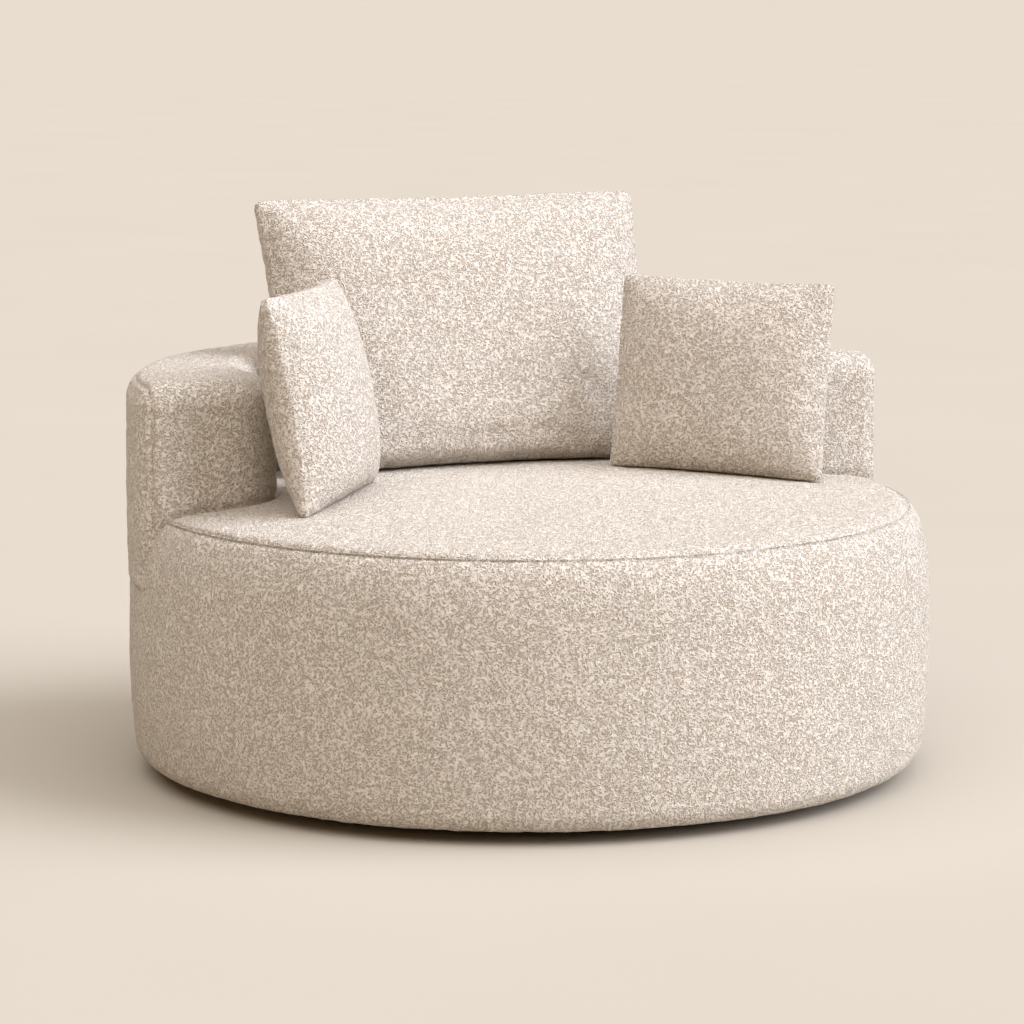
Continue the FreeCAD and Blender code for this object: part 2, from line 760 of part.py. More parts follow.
def make_cushions():
    start_z = seat_height + settle_start
    down = vec(0, 0, -1)
    back_form = (cushion_width, cushion_height, cushion_thickness, cushion_side_draw, cushion_end_draw)
    back_pose = (cushion_lean, 0, 0)
    back_shape = cushion(back_form, 0)
    back_foot = vec(cushion_shift, cushion_start_y, start_z)
    for gap in (wall_approach, cushion_wall_gap):
        back_foot = settle(back_shape, back_pose, back_foot, down, drum_body(0), soft_gap)
        back_foot = settle(back_shape, back_pose, back_foot, vec(0, 1, 0), wall_form(0, deck_z), gap)
    make_cushion("back_cushion", back_form, back_pose, back_foot)
    pillow_draws = (pillow_side_draw, pillow_end_draw)
    left_form = (left_pillow_width, left_pillow_height, left_pillow_thickness) + pillow_draws
    left_pose = (left_pillow_lean, left_pillow_roll, left_pillow_turn)
    left_foot = vec(left_pillow_arm_space - seat_half_width, arm_front_y + left_pillow_step, start_z)
    make_cushion("left_pillow", left_form, left_pose, left_foot)
    right_form = (right_pillow_width, right_pillow_height, right_pillow_thickness) + pillow_draws
    right_pose = (right_pillow_lean, right_pillow_roll, right_pillow_turn)
    right_foot = vec(seat_half_width - right_pillow_arm_space, arm_front_y + right_pillow_step, start_z)
    make_cushion("right_pillow", right_form, right_pose, right_foot)


os.makedirs("parts", exist_ok=True)
make_base()
make_cage()
make_drum_frame()
make_springs()
make_drum_soft()
make_wall_frame()
make_wall_soft()
make_cushions()
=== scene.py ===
import json
import math

import bpy
import numpy as np
from mathutils import Matrix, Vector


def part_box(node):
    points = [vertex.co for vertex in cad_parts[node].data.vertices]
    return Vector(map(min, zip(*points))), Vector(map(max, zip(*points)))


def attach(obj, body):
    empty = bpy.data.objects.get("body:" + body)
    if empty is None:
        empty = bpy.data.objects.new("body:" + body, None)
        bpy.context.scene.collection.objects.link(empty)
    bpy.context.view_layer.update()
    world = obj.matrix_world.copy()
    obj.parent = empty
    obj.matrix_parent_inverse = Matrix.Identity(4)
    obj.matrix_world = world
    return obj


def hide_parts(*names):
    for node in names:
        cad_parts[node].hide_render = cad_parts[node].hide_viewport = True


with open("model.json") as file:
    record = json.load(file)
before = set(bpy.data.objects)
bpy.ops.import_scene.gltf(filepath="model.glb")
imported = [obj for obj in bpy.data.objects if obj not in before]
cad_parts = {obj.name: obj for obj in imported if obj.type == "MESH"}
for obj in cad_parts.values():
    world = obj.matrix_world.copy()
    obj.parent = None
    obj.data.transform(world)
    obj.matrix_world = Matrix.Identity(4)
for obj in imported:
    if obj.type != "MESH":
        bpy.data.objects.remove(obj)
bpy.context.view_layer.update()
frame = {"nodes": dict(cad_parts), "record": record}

# Round swivel armchair in metres, in the frame of the CAD model: +Z up, facing -Y.

# Drum outline, the same tangent arcs as the solids
drum_radius = 0.650
seat_height = 0.4663
side_arc = 2.890
side_turn = math.radians(2.755)
shoulder_arc = 0.245
shoulder_turn = math.radians(19.67)
edge_arc = 0.0526
crown_arc = 5.950
lower_arc = 1.100
hem_arc = 0.0368
hem_height = 0.018
hem_return_radius = 0.556
seat_seam_radius = 0.612

# Wall of the back and arms, seen from above
arm_height = 0.645
seat_half_width = 0.407
corner_centre_x = 0.147
corner_centre_y = 0.160
corner_radius = 0.260
back_arc_centre_y = -0.370225
arm_front_y = 0.0
arm_outer_corner = 0.045
arm_inner_corner = 0.095
wall_top_round = 0.042
cover_seam_radius = 0.634
deck_z = 0.318

# Mesh spacing, and how finely the wall's lines and arcs are sampled before they are spaced evenly
drum_columns = 960
row_spacing = 0.0043
hem_rows = 15
seat_middle_radius = 0.004
wall_corner_steps = 38
wall_arc_steps = 480
wall_round_steps = 34
wall_top_steps = 30
line_samples = 200
arc_samples = 1500

# Rows of the drum beside its seat seam, in place of the even rows within seam_clear of it. They
# are put in where the outline lies less than top_band under its highest point.
seam_clear = 0.0055
seam_row_offsets = (-0.0050, -0.0034, -0.0021, -0.0010, 0.0, 0.0010, 0.0021, 0.0034, 0.0050)
top_band = 0.04

# Grooves of seams and creases in the cloth, with the swell of the padding beside them, whose
# distance and width are multiples of the groove's width. The foam begins 3.3 mm under the cloth,
# so nothing is pressed in deeper than deepest_dent.
deepest_dent = -0.0030
seam_depth = 0.0031
seam_width = 0.0030
crease_width = 0.0060
swell_distance = 3.2
swell_width = 2.0
swell_height = 0.0011
pucker_height = 0.0008
pucker_cell = 0.021
side_crease_depth = 0.0030
seat_seam_faded = 0.25

# Unevenness of the cloth, as the height of each kind of bump and the size of its features
lump_height = 0.0006
lump_cell = 0.016
grain_height = 0.0005
grain_cell = 0.0065
drum_wave_height = 0.0012
wall_wave_height = 0.0013
wave_cell = 0.15

# The drum: only above seam_zone_z do radii count as places on the seat, and beyond side_radius it
# is its side. Under the wall it is tucked in and down, and left out where it is well inside.
seam_zone_z = 0.3
side_radius = 0.63
tuck_radius = 0.6
tuck_inward = 0.010
tuck_down = 0.004
hidden_depth = 0.022
hidden_rise = 0.02

# Wall: bound for the stretch of distances from its seam, how its foot stands over the drum, and
# its lowest rows as the inset and the rise over that foot
least_level = 0.04
foot_gap = 0.0008
foot_sink = 0.022
foot_rows = ((0.0045, -0.0030), (0.0022, -0.0012), (0.0006, 0.0010), (0.0, 0.0035))

# Loose cushions: form of the panels
cushion_corner = 0.020
cushion_spacing = 0.0045
edge_row_distances = (0.0, 0.0012, 0.0026, 0.0046, 0.0075, 0.011, 0.015)
front_fullness = 8.0
rear_fullness = 1.5
slump_depth = 0.030

# Loose cushions: filling as cloth
cloth_start = 0.80
cloth_pressure = 4.0
cloth_excess = 0.012
cloth_frames = 20
cloth_cap = 0.014
cloth_swell = 0.005
small_cloth_spacing = 0.0065
large_cloth_spacing = 0.0085
large_width = 0.5

# Loose cushions: seam groove, scalloped edge, wrinkles and softness, each with its reach or size
edge_seam_depth = 0.0030
edge_seam_width = 0.0026
scallop_height = 0.0012
scallop_reach = 0.010
scallop_cell = 0.016
wrinkle_height = 0.0020
wrinkle_reach = 0.045
wrinkle_cell = 0.034
softness_height = 0.0022
softness_cell = 0.12
shift_height = 0.0004
seat_gap = 0.0012
seat_edge_radius = 0.6

collection = bpy.context.scene.collection


# Smooth seeded noise, on points given as rows of x, y, z

noise_values = 4096
noise_keys = (73856093, 19349663, 83492791)


def noise(points, cell, seed):
    """Values from about -1 to 1 whose features are about one cell wide."""
    table = np.random.default_rng(seed).uniform(-1.0, 1.0, noise_values)
    place = points / cell
    base = np.floor(place).astype(np.int64)
    part = place - base
    part = part * part * part * (part * (part * 6 - 15) + 10)
    total = np.zeros(len(points))
    for corner in range(8):
        step = np.array([corner & 1, corner >> 1 & 1, corner >> 2 & 1])
        keys = (base + step) * noise_keys
        key = keys[:, 0] ^ keys[:, 1] ^ keys[:, 2]
        weight = np.prod(np.where(step == 1, part, 1 - part), axis=1)
        total += weight * table[key & (noise_values - 1)]
    return total


def smooth(value, low, high):
    """Rises smoothly from 0 at low to 1 at high."""
    t = np.clip((value - low) / (high - low), 0.0, 1.0)
    return t * t * (3 - 2 * t)


def wool(points, seed):
    """Height of the cloth's small lumps over its smooth surface."""
    return (lump_height * noise(points, lump_cell, seed)
            + grain_height * noise(points, grain_cell, seed + 1))


# Mesh building

def make_mesh(name, points, faces):
    """A smooth shaded piece from its points and faces."""
    mesh = bpy.data.meshes.new(name)
    mesh.from_pydata(points.tolist(), [], faces)
    mesh.validate()
    mesh.shade_smooth()
    piece = bpy.data.objects.new(name, mesh)
    collection.objects.link(piece)
    return piece


def grid_faces(rows, columns, closed):
    """Quads of a grid whose points run along the columns first."""
    faces = []
    last = columns if closed else columns - 1
    for row in range(rows - 1):
        low = row * columns
        high = low + columns
        for column in range(last):
            following = (column + 1) % columns
            faces.append((low + column, low + following, high + following, high + column))
    return faces


def used_only(points, faces):
    """The faces with only the points that they use."""
    used = np.unique(np.array([index for face in faces for index in face]))
    place = np.full(len(points), -1)
    place[used] = np.arange(len(used))
    return points[used], [tuple(int(place[index]) for index in face) for face in faces]


def ring_normals(grid):
    """Unit normals of a rows by columns grid of points whose columns close to a ring."""
    along = np.roll(grid, -1, 1) - np.roll(grid, 1, 1)
    across = np.gradient(grid, axis=0)
    normal = np.cross(along, across)
    size = np.linalg.norm(normal, axis=2, keepdims=True)
    return normal / np.maximum(size, 1e-12)


# Drum

def next_centre(centre, radius, new_radius, angle):
    """Centre of the arc that goes on from another one at an angle, in the same direction."""
    step = radius - new_radius
    return (centre[0] + step * math.cos(angle), centre[1] + step * math.sin(angle))


def drum_arcs():
    """Tangent arcs of the drum's outline as (centre, radius, start angle, end angle)."""
    side = (drum_radius - side_arc, 0.0)
    shoulder = next_centre(side, side_arc, shoulder_arc, side_turn)
    edge = next_centre(shoulder, shoulder_arc, edge_arc, shoulder_turn)
    edge_turn = math.acos(edge[0] / (crown_arc - edge_arc))
    crown = next_centre(edge, edge_arc, crown_arc, edge_turn)
    waist_z = seat_height - crown[1] - crown_arc
    lower = (drum_radius - lower_arc, 0.0)
    drop = waist_z - hem_height - hem_arc
    low_turn = -math.asin(drop / (lower_arc - hem_arc))
    hem = next_centre(lower, lower_arc, hem_arc, low_turn)
    chain = [
        (hem, hem_arc, -math.pi / 2, low_turn),
        (lower, lower_arc, low_turn, 0.0),
        (side, side_arc, 0.0, side_turn),
        (shoulder, shoulder_arc, side_turn, shoulder_turn),
        (edge, edge_arc, shoulder_turn, edge_turn),
        (crown, crown_arc, edge_turn, math.pi / 2),
    ]
    return [((c[0], c[1] + waist_z), radius, start, end) for c, radius, start, end in chain]


def drum_outline():
    """Radii and heights of the drum's outline, from the hem's return to the middle of the seat."""
    places = []
    hem_edge = drum_arcs()[0][0][0]
    for radius in np.linspace(hem_return_radius, hem_edge, hem_rows + 1)[:-1]:
        places.append((radius, hem_height))
    for centre, radius, start, end in drum_arcs():
        count = max(3, math.ceil(radius * (end - start) / row_spacing))
        for angle in np.linspace(start, end, count + 1)[:-1]:
            places.append((centre[0] + radius * math.cos(angle),
                           centre[1] + radius * math.sin(angle)))
    places.append((seat_middle_radius, seat_height))
    places = np.array(places)
    top_start = int(np.argmax(places[:, 1] > places[:, 1].max() - top_band))
    top = places[top_start:]
    keep = top[np.abs(top[:, 0] - seat_seam_radius) > seam_clear]
    beside = seat_seam_radius + np.array(seam_row_offsets)
    added = np.stack([beside, np.interp(beside, top[::-1, 0], top[::-1, 1])], axis=1)
    top = np.concatenate([keep, added])
    return np.concatenate([places[:top_start], top[np.argsort(-top[:, 0])]])


outline = drum_outline()
top_part = outline[outline[:, 1] > deck_z]
height_radii = top_part[::-1, 0]
height_values = top_part[::-1, 1]


def seat_z(radius):
    """Height of the drum's upper surface at a distance from the swivel axis."""
    return np.interp(radius, height_radii, height_values)


def half_lines():
    """Outer and inner half of the wall's plan, from the left arm's front to the right one's."""
    corner_y = arm_front_y + arm_outer_corner
    out_x = math.sqrt((drum_radius - arm_outer_corner) ** 2 - corner_y ** 2)
    out_angle = math.atan2(corner_y, out_x)
    in_x = seat_half_width + arm_inner_corner
    middle_x = (in_x + out_x) / 2
    rise = corner_centre_y - back_arc_centre_y
    back_arc_radius = corner_radius + math.hypot(corner_centre_x, rise)
    meet = math.atan2(rise, corner_centre_x)

    def sample(parts, count):
        """Points and outward normals spaced evenly along a chain of lines and arcs."""
        fine = []
        for part in parts:
            if part[0] == "line":
                (x0, y0), (x1, y1), normal = part[1:]
                for share in np.linspace(0, 1, line_samples):
                    fine.append((x0 + (x1 - x0) * share, y0 + (y1 - y0) * share, *normal))
            else:
                (cx, cy), radius, start, end, sign = part[1:]
                for angle in np.linspace(start, end, arc_samples):
                    c, s = math.cos(angle), math.sin(angle)
                    fine.append((cx + radius * c, cy + radius * s, sign * c, sign * s))
        fine = np.array(fine)
        steps = np.hypot(*np.diff(fine[:, :2], axis=0).T)
        along = np.concatenate([[0.0], np.cumsum(steps)])
        wanted = np.linspace(0, along[-1], count + 1)
        values = np.stack([np.interp(wanted, along, fine[:, k]) for k in range(4)], axis=1)
        values[:, 2:] /= np.linalg.norm(values[:, 2:], axis=1, keepdims=True)
        return values

    quarter = math.pi / 2
    outer_front = [
        ("line", (-middle_x, arm_front_y), (-out_x, arm_front_y), (0, -1)),
        ("arc", (-out_x, corner_y), arm_outer_corner, -quarter, -math.pi - out_angle, 1),
    ]
    outer_arc = [("arc", (0, 0), drum_radius, math.pi - out_angle, out_angle, 1)]
    inner_y = arm_front_y + arm_inner_corner
    inner_front = [
        ("line", (-middle_x, arm_front_y), (-in_x, arm_front_y), (0, -1)),
        ("arc", (-in_x, inner_y), arm_inner_corner, -quarter, 0, 1),
    ]
    inner_arc = [
        ("line", (-seat_half_width, inner_y), (-seat_half_width, corner_centre_y), (1, 0)),
        ("arc", (-corner_centre_x, corner_centre_y), corner_radius, math.pi, math.pi - meet, -1),
        ("arc", (0, back_arc_centre_y), back_arc_radius, math.pi - meet, meet, -1),
        ("arc", (corner_centre_x, corner_centre_y), corner_radius, meet, 0, -1),
        ("line", (seat_half_width, corner_centre_y), (seat_half_width, inner_y), (-1, 0)),
    ]
    halves = []
    for front, arc in ((outer_front, outer_arc), (inner_front, inner_arc)):
        first = sample(front, wall_corner_steps)
        middle = sample(arc, wall_arc_steps)
        last = first[::-1] * (-1, 1, -1, 1)
        halves.append(np.concatenate([first[:-1], middle, last[1:]]))
    return halves


outer_half, inner_half = half_lines()
loop = np.concatenate([outer_half, inner_half[-2:0:-1]])


near_outline = 0.02


def depth_in_wall(x, y):
    """How far points of the plan lie inside the wall's outline, negative outside it.

    Near the outline the distance is taken along its normal, and elsewhere to its nearest point.
    """
    points = np.stack([x, y], axis=1)
    best = np.full(len(points), 1e9)
    depth = np.zeros(len(points))
    for place in loop:
        delta = points - place[:2]
        distance = np.einsum("ij,ij->i", delta, delta)
        nearer = distance < best
        best[nearer] = distance[nearer]
        depth[nearer] = -(delta[nearer] @ place[2:])
    far = best > near_outline ** 2
    return np.where(far, np.sign(depth) * np.sqrt(best), depth)


def height_over_drum(radius, height):
    """Distance of points from the upper part of the drum's outline."""
    best = np.full(len(radius), 1.0)
    for r, z in outline[outline[:, 1] > deck_z - near_outline]:
        best = np.minimum(best, (radius - r) ** 2 + (height - z) ** 2)
    return np.sqrt(best)


def sewn(lift, distance, width, pucker):
    """Cloth's height with a groove along a line, and the swell of the padding beside it."""
    groove = np.exp(-(distance / width) ** 2)
    beside = np.abs(distance) - swell_distance * width
    swell = np.exp(-(beside / (swell_width * width)) ** 2)
    grooved = lift * (1 - groove) - seam_depth * groove
    return grooved + (swell_height + pucker_height * pucker) * swell


def make_drum():
    """Side panel and seat panel of the drum, which meet in a sewn seam."""
    angles = np.linspace(0, 2 * math.pi, drum_columns, endpoint=False)
    radius = np.repeat(outline[:, :1], drum_columns, axis=1)
    height = np.repeat(outline[:, 1:], drum_columns, axis=1)
    direction = np.stack([np.cos(angles), np.sin(angles)], axis=1)
    grid = np.stack([radius * direction[:, 0], radius * direction[:, 1], height], axis=2)
    normal = ring_normals(grid)
    if normal[len(normal) // 2, 0, 0] < 0:
        normal = -normal
    flat = grid.reshape(-1, 3)
    normals = normal.reshape(-1, 3)
    r = radius.ravel()
    z = height.ravel()
    # Depths in the wall's plan matter only near its foot
    upper = (z > deck_z - 0.03) & (r > corner_centre_x + corner_radius - 0.05)
    in_wall = np.full(len(flat), -1.0)
    in_wall[upper] = depth_in_wall(flat[upper, 0], flat[upper, 1])
    from_seam = np.where(z > seam_zone_z, r - seat_seam_radius, 1.0)
    pucker = noise(flat, pucker_cell, 5)
    lift = wool(flat, 11) + drum_wave_height * noise(flat, wave_cell, 3)
    # The seat seam is sharp on the left and fades to the right
    to_the_left = -flat[:, 0] / np.maximum(r, 1e-6)
    seam_share = seat_seam_faded + (1 - seat_seam_faded) * smooth(to_the_left, 0.20, 0.60)
    lift += (sewn(lift, from_seam, seam_width, pucker) - lift) * seam_share
    # Crease under the wall's foot, on the side and then on the top
    side_crease = np.exp(-((z - deck_z) / crease_width) ** 2) * smooth(in_wall, -0.030, 0.004)
    lift -= side_crease_depth * np.where(r > side_radius, side_crease, 0.0)
    lift = np.where(z > deck_z + 0.01, sewn(lift, in_wall, crease_width, pucker), lift)
    under_wall = smooth(in_wall, -0.004, 0.012) * smooth(z, deck_z, deck_z + 0.012)
    tuck = np.where(z > deck_z, under_wall, 0.0)
    moved = flat + normals * np.maximum(lift, deepest_dent)[:, None]
    for axis in (0, 1):
        outward = flat[:, axis] / np.maximum(r, 1e-6)
        moved[:, axis] -= outward * tuck_inward * np.where(r > tuck_radius, tuck, 0.0)
    moved[:, 2] -= tuck_down * np.where(r <= side_radius, tuck, 0.0)
    hidden = (in_wall > hidden_depth) & (z > deck_z + hidden_rise)
    faces = grid_faces(len(outline), drum_columns, True)
    side_faces = []
    seat_faces = []
    for face in faces:
        if hidden[face[0]] and hidden[face[2]]:
            continue
        middle_r = (r[face[0]] + r[face[2]]) / 2
        if z[face[0]] > seam_zone_z and middle_r < seat_seam_radius:
            seat_faces.append(face)
        else:
            side_faces.append(face)
    last_row = (len(outline) - 1) * drum_columns
    seat_faces.append(tuple(range(last_row, last_row + drum_columns)))
    side = make_mesh("drum_side_panel", *used_only(moved, side_faces))
    seat = make_mesh("seat_panel", *used_only(moved, seat_faces))
    return side, seat


# Wall of the back and arms

def make_wall():
    """Outer and inner panel of the wall, which meet along the top and down the front corners."""
    columns = len(loop)
    r = np.hypot(loop[:, 0], loop[:, 1])
    plan, outward = loop[:, :2], loop[:, 2:]
    upright = np.zeros(columns)
    foot = np.maximum(deck_z + foot_gap, seat_z(np.minimum(r, drum_radius)) - foot_sink)
    round_z = arm_height - wall_top_round
    rows = []
    for inset, rise in foot_rows:
        rows.append((plan - outward * inset, foot + rise, outward, upright))
    start = foot + foot_rows[-1][1]
    count = round((round_z - deck_z) / row_spacing)
    for share in np.linspace(0, 1, count + 1)[1:]:
        rows.append((plan, start + (round_z - start) * share, outward, upright))
    for angle in np.linspace(0, math.pi / 2, wall_round_steps + 1)[1:]:
        inset = wall_top_round * (1 - math.cos(angle))
        level = np.full(columns, round_z + wall_top_round * math.sin(angle))
        rows.append((plan - outward * inset, level, outward * math.cos(angle),
                     np.full(columns, math.sin(angle))))
    points = np.concatenate([np.column_stack([xy, z]) for xy, z, _, _ in rows])
    normals = np.concatenate([np.column_stack([n, up]) for _, _, n, up in rows])
    faces = [face[::-1] for face in grid_faces(len(rows), columns, True)]
    # The flat top, in strips from the outer to the inner half
    top_start = (len(rows) - 1) * columns
    half = len(outer_half)
    strip = []
    extra = []
    for k in range(half):
        outer = top_start + k
        if k in (0, half - 1):
            strip.append([outer] * (wall_top_steps + 1))
            continue
        inner = top_start + columns - k
        first, last = points[outer], points[inner]
        line = [outer]
        for step in range(1, wall_top_steps):
            line.append(len(points) + len(extra))
            extra.append(first + (last - first) * step / wall_top_steps)
        line.append(inner)
        strip.append(line)
    points = np.concatenate([points, np.array(extra)])
    normals = np.concatenate([normals, np.tile([0.0, 0.0, 1.0], (len(extra), 1))])
    for line, following in zip(strip, strip[1:]):
        for step in range(wall_top_steps):
            face = (line[step], line[step + 1], following[step + 1], following[step])
            corners = tuple(dict.fromkeys(face))
            if len(corners) > 2:
                faces.append(corners)
    place = np.hypot(points[:, 0], points[:, 1])
    z = points[:, 2]
    steep = np.abs(normals[:, 0] * points[:, 0] + normals[:, 1] * points[:, 1]) / place
    level_share = np.sqrt(np.maximum(1 - steep ** 2, least_level))
    from_seam = np.abs(place - cover_seam_radius) / level_share
    pucker = noise(points, pucker_cell, 25)
    lift = wool(points, 31) + wall_wave_height * noise(points, wave_cell, 23)
    lift = sewn(lift, from_seam, seam_width, pucker)
    # Crease along the drum, but not on the outer face away from the arms' fronts
    outer_face = smooth(place, 0.6470, 0.6495) * smooth(points[:, 1], 0.04, 0.14)
    beside_drum = smooth(z, deck_z + 0.004, deck_z + 0.03) * (1 - outer_face)
    creased = sewn(lift, height_over_drum(place, z), crease_width, pucker)
    lift = lift + (creased - lift) * beside_drum
    moved = points + normals * np.maximum(lift, deepest_dent)[:, None]
    outer_faces = []
    inner_faces = []
    for face in faces:
        middle = sum(place[index] for index in face) / len(face)
        if middle > cover_seam_radius:
            outer_faces.append(face)
        else:
            inner_faces.append(face)
    outer = make_mesh("wall_outer_panel", *used_only(moved, outer_faces))
    inner = make_mesh("wall_inner_panel", *used_only(moved, inner_faces))
    return outer, inner


# Loose cushions

def edge_lines(half_length, spacing):
    """Distances from -half to half, closer together near both ends."""
    near = np.array(edge_row_distances)
    inside = half_length - near[-1]
    count = max(2, round(2 * inside / spacing))
    middle = np.linspace(-inside, inside, count + 1)
    return np.concatenate([-half_length + near[:-1], middle, half_length - near[-2::-1]])


def cushion_panels(form, us, vs):
    """Front and rear points of a cushion's two panels, and how far each lies from the seam."""
    width, height, thickness, side_draw, end_draw, side_power, end_power, sag = form
    u, v = np.meshgrid(us / (width / 2), vs / (height / 2))
    from_side = (1 - np.abs(u)) * width / 2
    from_end = (1 - np.abs(v)) * height / 2
    nearest = np.minimum(from_side, from_end)
    x = u * width / 2
    z = v * height / 2
    a = np.clip((np.abs(x) - width / 2 + cushion_corner) / cushion_corner, 0, 1)
    b = np.clip((np.abs(z) - height / 2 + cushion_corner) / cushion_corner, 0, 1)
    both = (a > 0) & (b > 0)
    corner_x = width / 2 - cushion_corner + cushion_corner * a * np.sqrt(1 - b ** 2 / 2)
    corner_z = height / 2 - cushion_corner + cushion_corner * b * np.sqrt(1 - a ** 2 / 2)
    x = np.where(both, np.sign(x) * corner_x, x)
    z = np.where(both, np.sign(z) * corner_z, z)
    x = x - side_draw * u * (1 - v ** 2)
    z = z - end_draw * v * (1 - u ** 2)
    panels = []
    for side, fuller in ((-1, front_fullness), (1, rear_fullness)):
        low_power = end_power + sag * fuller * smooth(-v, 0.0, 1.0)
        full = np.sqrt((1 - np.abs(u) ** side_power) * (1 - np.abs(v) ** low_power))
        slump = slump_depth * sag * full * smooth(-v, 0.5, 0.95)
        panels.append(np.stack([x, side * thickness / 2 * full, z - slump], axis=2))
    return panels, nearest


def join_panels(panels):
    """The closed cushion whose two panels share their edge.

    Gives its points, its faces, and the number that each point of the rear panel got.
    """
    rows, columns = panels[0].shape[:2]
    edge = np.zeros((rows, columns), bool)
    edge[0, :] = edge[-1, :] = edge[:, 0] = edge[:, -1] = True
    edge = edge.ravel()
    free = np.where(~edge)[0]
    rear_numbers = np.arange(rows * columns)
    rear_numbers[free] = rows * columns + np.arange(len(free))
    faces = grid_faces(rows, columns, False)
    rear_faces = [tuple(int(rear_numbers[index]) for index in face[::-1]) for face in faces]
    points = np.concatenate([panels[0].reshape(-1, 3), panels[1].reshape(-1, 3)[free]])
    return points, faces + rear_faces, rear_numbers


def even_lines(length, spacing):
    """Evenly spaced distances from minus half a length to half of it."""
    return np.linspace(-length / 2, length / 2, max(3, round(length / spacing) + 1))


def blow_up(name, form, spacing):
    """Fills a cushion as cloth, and gives how far the points of an even grid on it move."""
    width, height, thickness = form[:3]
    us = even_lines(width, spacing)
    vs = even_lines(height, spacing)
    lean_form = (width, height, thickness * cloth_start, *form[3:])
    panels, _ = cushion_panels(lean_form, us, vs)
    full_panels, _ = cushion_panels(form, us, vs)
    points, faces, rear_numbers = join_panels(panels)
    cloth_piece = make_mesh(name + "_cloth", points, faces)
    modifier = cloth_piece.modifiers.new("cloth", "CLOTH")
    settings = modifier.settings
    settings.quality = 6
    settings.mass = 0.3
    settings.tension_stiffness = 12
    settings.compression_stiffness = 12
    settings.shear_stiffness = 4
    settings.bending_stiffness = 1.0
    settings.use_pressure = True
    settings.uniform_pressure_force = cloth_pressure
    settings.effector_weights.gravity = 0
    settings.shrink_min = -cloth_excess
    seam = cloth_piece.vertex_groups.new(name="seam")
    shared = [number for number in range(len(vs) * len(us)) if rear_numbers[number] == number]
    seam.add(shared, 1.0, "REPLACE")
    settings.vertex_group_mass = "seam"
    settings.pin_stiffness = 2.0
    modifier.collision_settings.use_collision = False
    for number in range(1, cloth_frames + 1):
        bpy.context.scene.frame_set(number)
    done = cloth_piece.evaluated_get(bpy.context.evaluated_depsgraph_get()).data
    places = np.empty(len(done.vertices) * 3)
    done.vertices.foreach_get("co", places)
    places = places.reshape(-1, 3)
    bpy.data.objects.remove(cloth_piece)
    bpy.context.scene.frame_set(1)
    rows, columns = len(vs), len(us)
    moves = []
    panel_numbers = (np.arange(rows * columns), rear_numbers)
    for side, panel, numbers in zip((-1, 1), full_panels, panel_numbers):
        move = places[numbers].reshape(rows, columns, 3) - panel
        size = np.linalg.norm(move, axis=2, keepdims=True)
        move = move * np.minimum(1.0, cloth_cap / np.maximum(size, 1e-9))
        swell = move[:, :, 1] * side
        move[:, :, 1] = side * cloth_swell * np.tanh(swell / cloth_swell)
        moves.append(move)
    return us, vs, moves


def spline_weights(wanted, lines):
    """Weights of a Catmull-Rom curve that carry values from even lines to wanted places."""
    place = np.clip((wanted - lines[0]) / (lines[1] - lines[0]), 0, len(lines) - 1)
    base = np.minimum(place.astype(int), len(lines) - 2)
    t = place - base
    shares = (-t / 2 + t ** 2 - t ** 3 / 2, 1 - 2.5 * t ** 2 + 1.5 * t ** 3,
              t / 2 + 2 * t ** 2 - 1.5 * t ** 3, -t ** 2 / 2 + t ** 3 / 2)
    weights = np.zeros((len(wanted), len(lines)))
    for offset, share in enumerate(shares):
        column = np.clip(base + offset - 1, 0, len(lines) - 1)
        np.add.at(weights, (np.arange(len(wanted)), column), share)
    return weights


def seat_under(points):
    """Height of the seat under points."""
    return seat_z(np.minimum(np.hypot(points[:, 0], points[:, 1]), seat_edge_radius))


